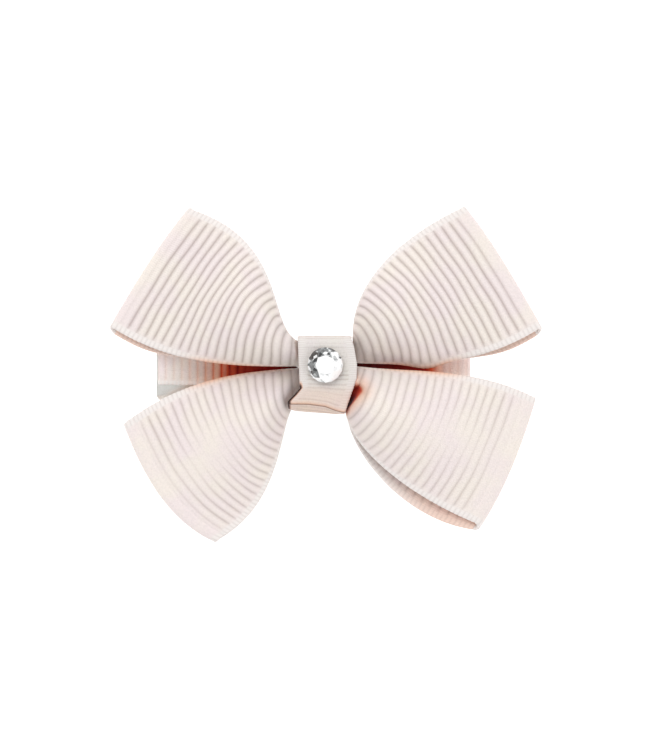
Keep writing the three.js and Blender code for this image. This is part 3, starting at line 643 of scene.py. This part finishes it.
def build_loop(name, left, right, level, fold_z):
    w = columns(SELVAGE / RIBBON_WIDTH, 34)
    grid, share, layer, lobes = loop_rows(left, right, level, fold_z, w)
    grid = soften_waist(grid, share)
    phase = np.arange(len(grid)) / RIB_ROWS
    from_fold = np.array([
        (1 - s) * o["upper_edge"].length[-1] for s, o in zip(share, lobes)])
    pressed = smooth(0.35, 1.0, from_fold / of_lobes(lobes, "plain"))
    amount = rib_strength(lobes, share, pressed, w)
    groove = 0.09 * of_lobes(lobes, "crease") * np.exp(-((from_fold - 1.55) / 0.12) ** 2)
    groove = (groove * (layer >= 1))[:, None]
    # The two loops' edges that face each other over the clip, and the way from them: there the
    # painted shade turns red.
    x = np.abs(grid[:, :, 0])
    uppers = of_lobes(lobes, "top")[:, None]
    distance = np.where(uppers, w[None, :], 1 - w[None, :]) * RIBBON_WIDTH
    window = smooth(3.2, 4.2, x) * (1 - smooth(11.0, 16.5, x))
    gap = np.exp(-(distance / 1.1) ** 2) * window
    grid = wavering(grid, w, pressed * smooth(0.0, 0.15, share))
    grid, hole, hollow = teardrop(grid, layer, lobes)
    gap = np.maximum(gap, hole)
    # Painted warm shade along the two edges that face each other over the clip.
    fringe = smooth(5.0, 8.5, x) * (1 - smooth(13.0, 17.5, x)) * np.exp(-(distance / 0.55) ** 2)
    hollow = np.maximum(hollow, 0.3 * fringe)
    # Inside a loop, the lower edge of the back layer lies in the front layer's warm shade.
    inside = smooth(0.35, 0.8, share)[:, None] * (1 - smooth(0.15, 0.4, w))[None, :]
    inside = inside * (layer[:, None] == 0)
    hollow = np.maximum(hollow, INSIDE_WARMTH * inside)
    made = ribbon_mesh(name, grid, w, phase, RIBBON_WIDTH, RIBBON, amount, SELVAGE, gap,
                       LOOP_CLOTH, "upper_lever_with_bow", [name], groove, hollow=hollow)
    return made


def teardrop(grid, layer, lobes):
    """The pleat beside the wrap stands open: the lower right lobe's front layer dips there."""
    start, end = np.array([3.72, -1.85]), np.array([2.15, -4.4])
    way = end - start
    plan = grid[:, :, :2] - start
    t = np.clip(plan @ way / (way @ way), 0, 1)
    off = np.linalg.norm(plan - t[..., None] * way, axis=2)
    width = 0.66 * (1 - t) + 0.12
    inside = np.exp(-(off / width) ** 4)
    mask = np.array([o is LOWER_RIGHT for o in lobes])[:, None] & (layer[:, None] >= 1)
    inside = inside * mask
    near = np.exp(-(off / (width + 0.5)) ** 2) * mask
    grid = grid.copy()
    grid[:, :, 2] -= 1.5 * inside
    # Painted shade in the opening: red where it starts, darker to its narrow end, a pale warm
    # rim round it.
    deep = (0.66 + 0.3 * smooth(0.05, 0.6, t)) * np.exp(-(off / (width + 0.06)) ** 4) * mask
    return grid, near, np.maximum(deep, 0.3 * near)


build_loop("rear_loop_ribbon", LOWER_LEFT, UPPER_RIGHT, REAR_LEVEL, REAR_FOLD_Z)
build_loop("front_loop_ribbon", UPPER_LEFT, LOWER_RIGHT, FRONT_LEVEL, FRONT_FOLD_Z)

# ---- the centre wrap -----------------------------------------------------------------------

# Left and right edges of the wrap on its upper side, as (Y, X).
WRAP_LEFT = [(-4.4, -4.5), (-3.5, -4.4), (-2.7, -3.7), (-1.7, -3.02), (1.25, -3.16),
             (4.45, -3.3)]
WRAP_RIGHT = [(-4.4, 2.0), (-3.0, 2.5), (-1.6, 3.12), (-0.5, 3.55), (1.25, 3.58),
              (3.2, 3.25), (4.45, 2.85)]
# How the lower end slants, and how far its wall leans out, against X.
WRAP_SLANT = [(-4.4, 0.4), (-2.0, 0.37), (0.0, 0.1), (1.15, -0.35), (2.0, -0.57)]
WRAP_STRIP = [(-4.4, 0.5), (-2.0, 0.72), (0.0, 0.7), (1.15, 0.35), (2.0, 0.12)]


def build_wrap():
    half = WRAP_THICKNESS / 2
    right, left = 4.5 - half, -3.9 + half
    top = WRAP_TOP - half
    inner, outer = 2.875, 2.075
    line = [(left + 1.6, inner), (right - 0.6, inner)]
    line += arc(right - 0.6, inner + 0.6, 0.6, -90, 0, 8)
    line += arc(right - 1.2, top - 1.2, 1.2, 0, 90, 12)
    line += [(left + 0.16, top), (left + 0.04, top - 0.05), (left, top - 0.16)]
    line += [(left, top - 1.6), (left, top - 2.9), (left, top - 4.2)]
    line += arc(left + 1.4, outer + 1.4, 1.4, 180, 270, 12)
    line += [(right - 1.6, outer)]
    path, gone = resample(line, 0.06)
    y, z = path[:, 0], path[:, 1]
    w = columns(WRAP_RIM / WRAP_WIDTH, 24)
    left_x = between(y, WRAP_LEFT)
    right_x = between(y, WRAP_RIGHT)
    high = smooth(8.6, 10.6, z)
    left_x = -3.0 + (left_x + 3.0) * high
    low_right = np.where(y < 0, 2.3, 3.0)
    right_x = low_right + (right_x - low_right) * high
    x = left_x[:, None] + (right_x - left_x)[:, None] * w[None, :]
    front = smooth(-0.5, -3.6, y)[:, None] * high[:, None]
    slant = between(x, WRAP_SLANT)
    strip = between(x, WRAP_STRIP)
    wall = smooth(top - 0.1, top - 1.5, z) * (1 - smooth(top - 2.2, top - 4.6, z))
    wall = wall * (y < left + 0.1)
    yy = y[:, None] + slant * front - strip * wall[:, None]
    zz = np.broadcast_to(z[:, None], x.shape)
    # The ribbon stands a little higher in the middle than at its two edges.
    v = 2 * w - 1
    zz = zz - 0.1 * (v * v)[None, :] * smooth(11, 12, z)[:, None]
    grid = np.stack([x, yy, zz], 2)
    phase = gone / WRAP_PITCH
    strength = 0.4 + 0.25 * RNG.standard_normal(int(phase[-1]) + 2)
    amount = np.clip(strength, 0.1, 0.9)[phase.astype(int)][:, None]
    # Painted shade: warmer low on the wrap and a little below its top. The turn under it and
    # the edge that lifts off the lower left lobe get darker painted shade.
    warm = 0.1 * smooth(-0.8, -2.4, y) * high + 0.04 * smooth(top - 0.2, top - 1.0, z)
    crease = 0.42 * np.exp(-((z - (top - 0.1)) / 0.07) ** 2) * (y < left + 0.3)
    hollow = (warm + crease)[:, None] * np.ones((1, len(w)))
    lifted = smooth(-0.6, -1.8, y) * (1 - smooth(-3.5, -4.2, y)) * high
    edge = np.exp(-(w * WRAP_WIDTH / 0.26) ** 4)
    hollow = np.maximum(hollow, lifted[:, None] * edge[None, :])
    ribbon_mesh("centre_wrap_ribbon", grid, w, phase, WRAP_WIDTH, WRAP_THICKNESS, amount,
                WRAP_SELVAGE, 0.0, WRAP_CLOTH, "upper_lever_with_bow",
                ["centre_wrap_ribbon"], scallop=0.015, hollow=hollow)


build_wrap()

# ---- the lining of the upper lever ---------------------------------------------------------


# Depth of painted shade along the lining, as (X, depth).
LINING_DEPTH = [(-17.5, 0.0), (-15.0, 0.05), (-12.8, 0.28), (-11.2, 0.55), (-9.8, 0.68),
                (-6.0, 0.78), (-4.0, 0.96), (3.4, 0.96), (8.5, 0.86), (11.6, 0.76),
                (12.8, 0.42), (14.0, 0.12), (17.0, 0.02)]


def build_lining():
    top, bottom = 4.6, 3.4
    turn = (top - bottom) / 2
    rise = math.tan(math.radians(TAB_ANGLE))
    line = [(TAB_END, top + (-TAB_END + TAB_BEND) * rise), (TAB_BEND, top), (0, top)]
    line += arc(LEVER_TIP + 0.1 + 0.2 - turn / 2, (top + bottom) / 2, turn, 90, -90, 16)
    line += [(0, bottom), (-7.4, bottom)]
    path, gone = resample(line, 0.12)
    blur = np.ones(7) / 7
    soft = np.stack([np.convolve(np.pad(path[:, k], 3, mode="edge"), blur, "valid")
                     for k in (0, 1)], 1)
    x, z = soft[:, 0], soft[:, 1]
    w = columns(LINING_RIM / LINING_WIDTH, 14)
    y = CLIP_Y + LINING_WIDTH * (w - 0.5)
    grid = np.stack(np.broadcast_arrays(x[:, None], y[None, :], z[:, None]), 2)
    # The lobes cover the lining more closely towards the wrap, and painted shade darkens it
    # there.
    depth = between(x, LINING_DEPTH)
    # Painted shade in the rib valleys of the lining's left part.
    valley = 1 - np.abs(np.sin(np.pi * gone / LINING_PITCH)) ** 0.7
    valley = 0.22 * valley * smooth(-17.5, -13.0, x) * (1 - smooth(-11.0, -9.0, x))
    hollow = ((depth + valley) * (z > 4.0))[:, None]
    ribbon_mesh("lever_lining_ribbon", grid, w, gone / LINING_PITCH, LINING_WIDTH,
                LINING_THICKNESS, 0.75, LINING_SELVAGE, 0.0, LINING_CLOTH,
                "upper_lever_with_bow", ["lever_lining_ribbon"], hollow=hollow)


build_lining()

# ---- the clip's metal ----------------------------------------------------------------------


def bevelled(node, material, width=0.09):
    """The CAD piece with its sheet edges rounded over."""
    mesh = NODES[node].data.copy()
    work = bmesh.new()
    work.from_mesh(mesh)
    bmesh.ops.remove_doubles(work, verts=work.verts, dist=1e-6)
    bmesh.ops.dissolve_limit(work, angle_limit=math.radians(1.0), verts=work.verts,
                             edges=work.edges)
    sharp = [e for e in work.edges
             if e.is_manifold and e.calc_face_angle(0) > math.radians(32)]
    bmesh.ops.bevel(work, geom=sharp, offset=width * MM, segments=2, profile=0.5,
                    affect="EDGES", clamp_overlap=True)
    bmesh.ops.triangulate(work, faces=[f for f in work.faces if len(f.verts) > 4])
    work.to_mesh(mesh)
    work.free()
    mesh.materials.clear()
    mesh.materials.append(material)
    obj = bpy.data.objects.new(node + "_look", mesh)
    bpy.context.scene.collection.objects.link(obj)
    mesh.polygons.foreach_set("use_smooth", [True] * len(mesh.polygons))
    mesh.set_sharp_from_angle(angle=math.radians(28))
    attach(obj, BODY_OF[node])
    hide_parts(node)
    return obj


def tube(name, path, radius, sides, material, node, twist=0.0):
    """A round wire along a line of points, closed at its ends."""
    path = np.asarray(path, float)
    way = np.gradient(path, axis=0)
    way /= np.linalg.norm(way, axis=1, keepdims=True)
    up = np.cross(way[0], [0.31, 0.9, 0.3])
    up /= np.linalg.norm(up)
    verts, turns = [], []
    for i, (p, d) in enumerate(zip(path, way)):
        up = up - d * (up @ d)
        up /= np.linalg.norm(up)
        side = np.cross(d, up)
        for k in range(sides):
            a = 2 * math.pi * k / sides
            verts.append(p + radius * (up * math.cos(a) + side * math.sin(a)))
            turns.append(2 * a + twist * i)
    n = len(path)
    faces = []
    for i in range(n - 1):
        for k in range(sides):
            m = (k + 1) % sides
            faces.append((i * sides + k, i * sides + m,
                          (i + 1) * sides + m, (i + 1) * sides + k))
    faces.append(tuple(range(sides - 1, -1, -1)))
    faces.append(tuple((n - 1) * sides + k for k in range(sides)))
    obj = mesh_object(name, verts, faces, material, BODY_OF[node], [node])
    point_values(obj, twist=turns)
    return obj


def spring_path():
    sweep = 2 * math.pi * SPRING_TURNS + math.pi
    length = SPRING_COIL * sweep
    half = SPRING_PITCH * sweep / (4 * math.pi)
    points = []
    for s in np.linspace(-SPRING_LEG, length + SPRING_LEG, 520):
        on = min(max(s, 0), length)
        a = on / SPRING_COIL
        past = s - on
        points.append((HINGE[0] - SPRING_COIL * math.sin(a) - past * math.cos(a),
                       HINGE[1] - half + SPRING_PITCH * a / (2 * math.pi),
                       HINGE[2] + SPRING_COIL * math.cos(a) - past * math.sin(a)))
    return points


def squared(v):
    """A cosine or sine whose circle is drawn out towards a square."""
    return math.copysign(abs(v) ** 0.36, v)


def thread_path():
    low, high = in_mm(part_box("waist_thread"))
    middle = (low + high) / 2
    reach = (high - low) / 2 - THREAD_RADIUS
    points = []
    for t in np.linspace(0, 1, 700):
        a = 2 * math.pi * THREAD_TURNS * t
        points.append((middle[0] + 2 * reach[0] * (t - 0.5),
                       middle[1] + reach[1] * squared(math.cos(a)),
                       middle[2] + reach[2] * squared(math.sin(a))))
    path, _ = resample(points, 0.08)
    return path


bevelled("lower_jaw", NICKEL)
bevelled("upper_lever", NICKEL)
tube("torsion_spring_look", spring_path(), SPRING_WIRE_RADIUS, 20, SPRING_STEEL,
     "torsion_spring")
tube("waist_thread_look", thread_path(), THREAD_RADIUS, 10, thread_material(), "waist_thread",
     0.9)


def lathe(name, profile, centre, axis, sides, material, node, wobble=0.0):
    """A turned piece: profile is (radius, height) pairs that start and end on the axis."""
    axis = np.asarray(axis, float)
    first = np.cross(axis, [0.3, 0.2, 0.9])
    first /= np.linalg.norm(first)
    second = np.cross(axis, first)
    centre = np.asarray(centre, float)
    verts = [centre + axis * profile[0][1]]
    for r, h in profile[1:-1]:
        for k in range(sides):
            a = 2 * math.pi * k / sides
            rr = r * (1 + wobble * math.sin(3 * a + 0.7) + wobble * 0.6 * math.sin(5 * a))
            verts.append(centre + axis * h + rr * (first * math.cos(a) + second * math.sin(a)))
    verts.append(centre + axis * profile[-1][1])
    rings = len(profile) - 2
    faces = []
    for k in range(sides):
        m = (k + 1) % sides
        faces.append((0, 1 + m, 1 + k))
        for j in range(rings - 1):
            a = 1 + j * sides
            faces.append((a + k, a + m, a + sides + m, a + sides + k))
        last = 1 + (rings - 1) * sides
        faces.append((last + k, last + m, len(verts) - 1))
    obj = mesh_object(name, verts, faces, material, BODY_OF[node], [node])
    obj.data.set_sharp_from_angle(angle=math.radians(35))
    return obj


PIN_PROFILE = [(0, -4.45), (0.7, -4.45), (0.86, -4.4), (0.95, -4.28), (0.95, -4.1),
               (0.6, -4.1), (0.6, 4.1), (0.95, 4.1), (0.95, 4.28), (0.86, 4.4),
               (0.7, 4.45), (0, 4.45)]
lathe("hinge_pin_look", PIN_PROFILE, HINGE, (0, 1, 0), 48, PIN_STEEL,
      "hinge_pin")

GLUE = glue_material()


def glue_look(node):
    low, high = in_mm(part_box(node))
    radius = (high[0] - low[0]) / 2
    height = high[2] - low[2]
    profile = [(0, 0), (0.9 * radius, 0), (0.97 * radius, 0.12 * height),
               (0.96 * radius, 0.5 * height), (0.88 * radius, 0.85 * height),
               (0.8 * radius, height), (0.4 * radius, height), (0, height)]
    middle = (low + high) / 2
    obj = lathe(node + "_look", profile, (0, 0, 0), (0, 0, 1), 40, GLUE, node, 0.01)
    co = np.array([v.co for v in obj.data.vertices])
    co[:, 1] *= (high[1] - low[1]) / (high[0] - low[0])
    co += np.array([middle[0], middle[1], low[2]]) * MM
    obj.data.vertices.foreach_set("co", co.ravel().astype(np.float32))
    return obj


for pad in ("bow_glue_pad", "wrap_glue_pad", "stone_glue"):
    glue_look(pad)

# ---- the crystal ---------------------------------------------------------------------------


def build_crystal():
    """A flat-backed round cut: table, eight star facets, eight kites, sixteen girdle
    triangles. Each facet's grey is painted light and reflection of the foil behind it: a white
    table, a dark girdle, and facets lighter on the side turned to one light."""
    low, high = in_mm(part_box("crystal"))
    cx, cy = (low[:2] + high[:2]) / 2
    radius = (high[0] - low[0]) / 2
    base, top = low[2], high[2]
    height = top - base

    def ring(r, z, count, offset):
        a = 2 * math.pi * (np.arange(count) + offset) / count
        return [(cx + r * math.cos(x), cy + r * math.sin(x), z) for x in a]

    verts = ring(radius - 0.1, base, 16, 0) + ring(radius, base + 0.14, 16, 0)
    verts += ring(radius, base + 0.28, 16, 0)
    verts += ring(radius * 0.79, base + 0.68 * height, 8, 0.5)
    verts += ring(radius * 0.55, top, 8, 0)
    girdle, crown, table = 32, 48, 56    # first point of each ring
    faces, painted_facet_light = [tuple(range(15, -1, -1))], [0.5]
    light = np.radians(-60)

    # Painted light: a facet turned towards the light direction is lighter, with a random
    # spread.
    def shade(angle, spread):
        away = math.cos(angle - light)
        return float(np.clip(0.56 + 0.42 * away + spread * RNG.uniform(-1, 1), 0, 1.1))

    for k in range(16):
        m = (k + 1) % 16
        faces.append((k, m, 16 + m, 16 + k))
        faces.append((16 + k, 16 + m, 32 + m, 32 + k))
        painted_facet_light += [0.1, 0.3 if k % 3 else 0.0]
    for k in range(8):
        mid, star, nxt = crown + k, table + k, table + (k + 1) % 8
        a = 2 * math.pi * (k + 0.5) / 8
        g0, g1, g2 = girdle + 2 * k, girdle + 2 * k + 1, girdle + (2 * k + 2) % 16
        faces += [(g0, g1, mid), (g1, g2, mid)]
        painted_facet_light += [shade(a - 0.2, 0.4), shade(a + 0.2, 0.4)]
        faces += [(star, mid, nxt)]
        painted_facet_light += [shade(a, 0.45)]
    for k in range(8):
        before, after = crown + (k - 1) % 8, crown + k
        faces.append((girdle + 2 * k, after, table + k, before))
        painted_facet_light += [shade(2 * math.pi * k / 8, 0.5)]
    faces.append(tuple(table + k for k in range(8)))
    painted_facet_light.append(1.3)
    obj = mesh_object("crystal_look", verts, faces, crystal_material(),
                      "upper_lever_with_bow", ["crystal"], smooth_faces=False)
    layer = obj.data.attributes.new("facet", "FLOAT", "FACE")
    layer.data.foreach_set("value", np.asarray(painted_facet_light, np.float32))


build_crystal()


def build_foil():
    low, high = in_mm(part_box("crystal_foil"))
    radius = (high[0] - low[0]) / 2
    height = high[2] - low[2]
    profile = [(0, 0), (radius - 0.03, 0), (radius, 0.03), (radius, height - 0.03),
               (radius - 0.03, height), (0, height)]
    middle = (low + high) / 2
    lathe("crystal_foil_look", profile, (middle[0], middle[1], low[2]), (0, 0, 1), 64,
          foil_material(), "crystal_foil")


build_foil()

# ---- floor, light and camera ---------------------------------------------------------------


def floor_material():
    t = Tree("white_table")
    cloud = t.noise(60.0, 2.0)
    colour = t.ramp(cloud, [(0.3, (0.93, 0.93, 0.93, 1)), (0.7, (0.95, 0.95, 0.95, 1))])
    base = t.add("BsdfDiffuse", Color=colour)
    lit = t.add("Emission", Color=(1, 1, 1, 1), Strength=0.62)
    both = t.add("AddShader")
    t.links.new(base.outputs[0], both.inputs[0])
    t.links.new(lit.outputs[0], both.inputs[1])
    return t.surface(both.outputs[0])


bpy.ops.mesh.primitive_plane_add(size=1.2, location=(0, 0, -0.0002))
floor = bpy.context.object
floor.name = "table_top"
floor.data.materials.append(floor_material())

world = bpy.data.worlds.new("studio")
bpy.context.scene.world = world
world.use_nodes = True
world.node_tree.nodes["Background"].inputs["Color"].default_value = (1.0, 0.99, 0.985, 1)
world.node_tree.nodes["Background"].inputs["Strength"].default_value = 0.74


def softbox(name, place, size, power, aim=(0, 0, 0.008)):
    data = bpy.data.lights.new(name, "AREA")
    data.shape = "RECTANGLE"
    data.size, data.size_y = size
    data.energy = power
    lamp = bpy.data.objects.new(name, data)
    lamp.location = place
    lamp.rotation_euler = (Vector(aim) - Vector(place)).to_track_quat("-Z", "Y").to_euler()
    bpy.context.scene.collection.objects.link(lamp)
    return lamp


softbox("key_softbox", (-0.12, 0.22, 0.5), (0.3, 0.3), 1.15)
softbox("fill_softbox", (0.3, -0.1, 0.42), (0.3, 0.3), 0.4)

camera_data = bpy.data.cameras.new("camera")
camera = bpy.data.objects.new("camera", camera_data)
bpy.context.scene.collection.objects.link(camera)
VIEW_HEIGHT = 0.0874
DISTANCE = 0.42
SENSOR = 36
camera_data.sensor_fit = "VERTICAL"
camera_data.sensor_height = SENSOR
camera_data.lens = SENSOR * DISTANCE / VIEW_HEIGHT
camera_data.clip_start = 0.01
camera.location = (-0.00012, -0.00006, 0.009 + DISTANCE)
bpy.context.scene.camera = camera
bpy.context.scene.view_settings.view_transform = "Standard"
bpy.context.scene.view_settings.look = "None"
